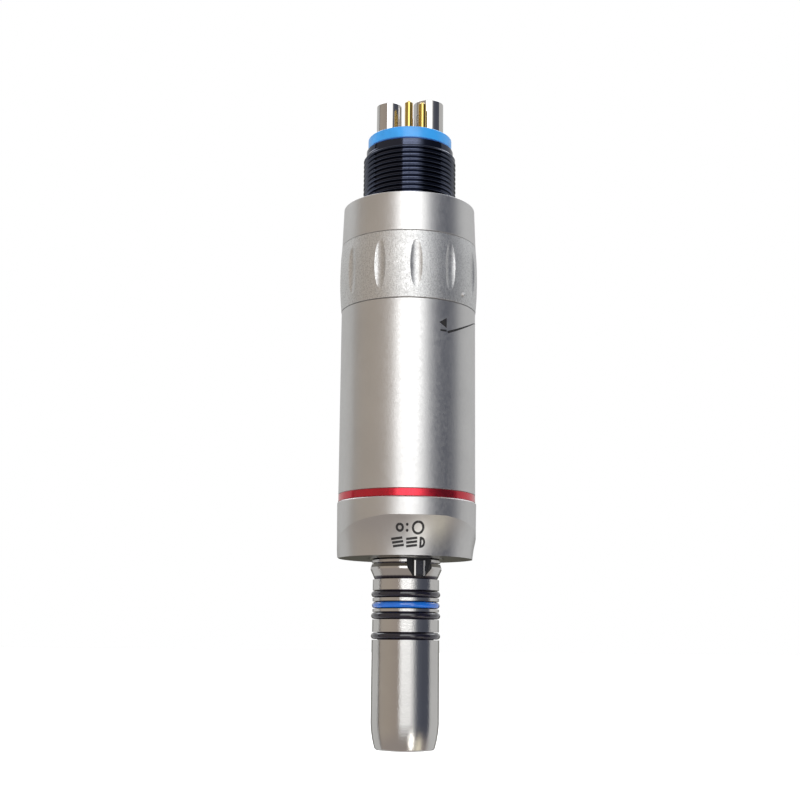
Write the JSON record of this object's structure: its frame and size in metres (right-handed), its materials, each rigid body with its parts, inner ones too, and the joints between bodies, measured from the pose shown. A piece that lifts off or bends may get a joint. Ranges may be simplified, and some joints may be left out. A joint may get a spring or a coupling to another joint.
{
  "type": "dental air motor",
  "caption": "Upright air motor for a dental handpiece: turning selector ring, six-way threaded hose connector above, polished spigot with O-rings and a lamp below.",
  "frame": {"origin": "centre of the gasket face that meets the hose coupling, on the motor's axis", "axes": "+Z along the motor's axis into the hose, spigot towards -Z; -Y is the side with the lamp and the scoop in the nose; +X is where the middle of the selector scale lies"},
  "size_m": [0.0206, 0.0206, 0.097],
  "materials": {
    "satin_steel": "fine satin, drawn round the axis",
    "blasted_steel": "bead blasted, fine grain",
    "polished_steel": "polished",
    "red_ring": "gloss, deep red",
    "black_anodised": "gloss black, machined thread",
    "sky_blue_rubber": "soft sky blue",
    "black_rubber": "smooth black",
    "blue_rubber": "smooth royal blue",
    "gold_plate": "gold plated",
    "white_insulator": "smooth",
    "wire_insulation": "thin insulation",
    "dark_frame": "dark moulded",
    "lamp_lens": "clear lens",
    "turned_aluminium": "turned",
    "hard_steel": "ground",
    "bronze": "turned bronze",
    "bearing_steel": "ground and polished",
    "cage_resin": "brown resin",
    "vane_resin": "brown laminated resin",
    "line_steel": "drawn tube"
  },
  "bodies": {
    "motor": {"front_nose": "satin_steel", "nose_collar": "polished_steel", "accent_ring": "red_ring", "main_sleeve": "satin_steel", "rear_cap": "satin_steel", "inner_housing": "turned_aluminium", "cylinder_liner": "hard_steel", "liner_pin": "hard_steel", "front_end_plate": "bronze", "rear_end_plate": "bronze", "preload_washer": "hard_steel", "lock_ring": "turned_aluminium", "shaft_seal": "black_rubber", "ring_seals": "black_rubber", "front_bearing_outer": "bearing_steel", "rear_bearing_outer": "bearing_steel", "spigot": "polished_steel", "spigot_seals": "black_rubber", "spigot_seal_blue": "blue_rubber", "led_holder": "dark_frame", "led_lens": "lamp_lens", "led_wires": "wire_insulation", "water_line": "line_steel", "spray_air_line": "line_steel", "hose_connector": "black_anodised", "hose_gasket": "sky_blue_rubber", "contact_pins": "gold_plate", "pin_insulators": "white_insulator", "drive_air_tube": "polished_steel", "exhaust_tube": "polished_steel", "water_tube": "polished_steel", "spray_air_tube": "polished_steel"},
    "selector": {"selector_ring": "blasted_steel", "selector_pin": "hard_steel", "valve_sleeve": "bronze"},
    "rotor": {"rotor": "hard_steel", "rotor_vanes": "vane_resin", "rotor_nut": "hard_steel", "front_bearing_inner": "bearing_steel", "rear_bearing_inner": "bearing_steel", "dog_pin": "hard_steel", "dog_spring": "hard_steel"},
    "dog": {"drive_dog": "hard_steel"},
    "front_cage": {"front_bearing_balls": "bearing_steel", "front_bearing_cage": "cage_resin"},
    "rear_cage": {"rear_bearing_balls": "bearing_steel", "rear_bearing_cage": "cage_resin"}
  },
  "joints": [
    {"name": "selector_turn", "type": "hinge", "parent": "motor", "child": "selector", "pos_m": [0, 0, -0.0224], "axis": [0, 0, 1], "range_deg": [-16, 94]},
    {"name": "rotor_spin", "type": "hinge", "parent": "motor", "child": "rotor", "pos_m": [0, 0, -0.0414], "axis": [0, 0, 1], "continuous": true},
    {"name": "dog_slide", "type": "slide", "parent": "rotor", "child": "dog", "axis": [0, 0, 1], "range_m": [0, 0.002], "stiffness_N_per_m": 300, "springref_m": -0.003, "deforming": ["dog_spring"]},
    {"name": "front_cage_turn", "type": "hinge", "parent": "motor", "child": "front_cage", "pos_m": [0, 0, -0.0534], "axis": [0, 0, 1], "continuous": true},
    {"name": "rear_cage_turn", "type": "hinge", "parent": "motor", "child": "rear_cage", "pos_m": [0, 0, -0.0294], "axis": [0, 0, 1], "continuous": true}
  ],
  "couplings": [
    {"joint": "front_cage_turn", "follows": "rotor_spin", "ratio": 0.36667},
    {"joint": "rear_cage_turn", "follows": "rotor_spin", "ratio": 0.36667}
  ]
}
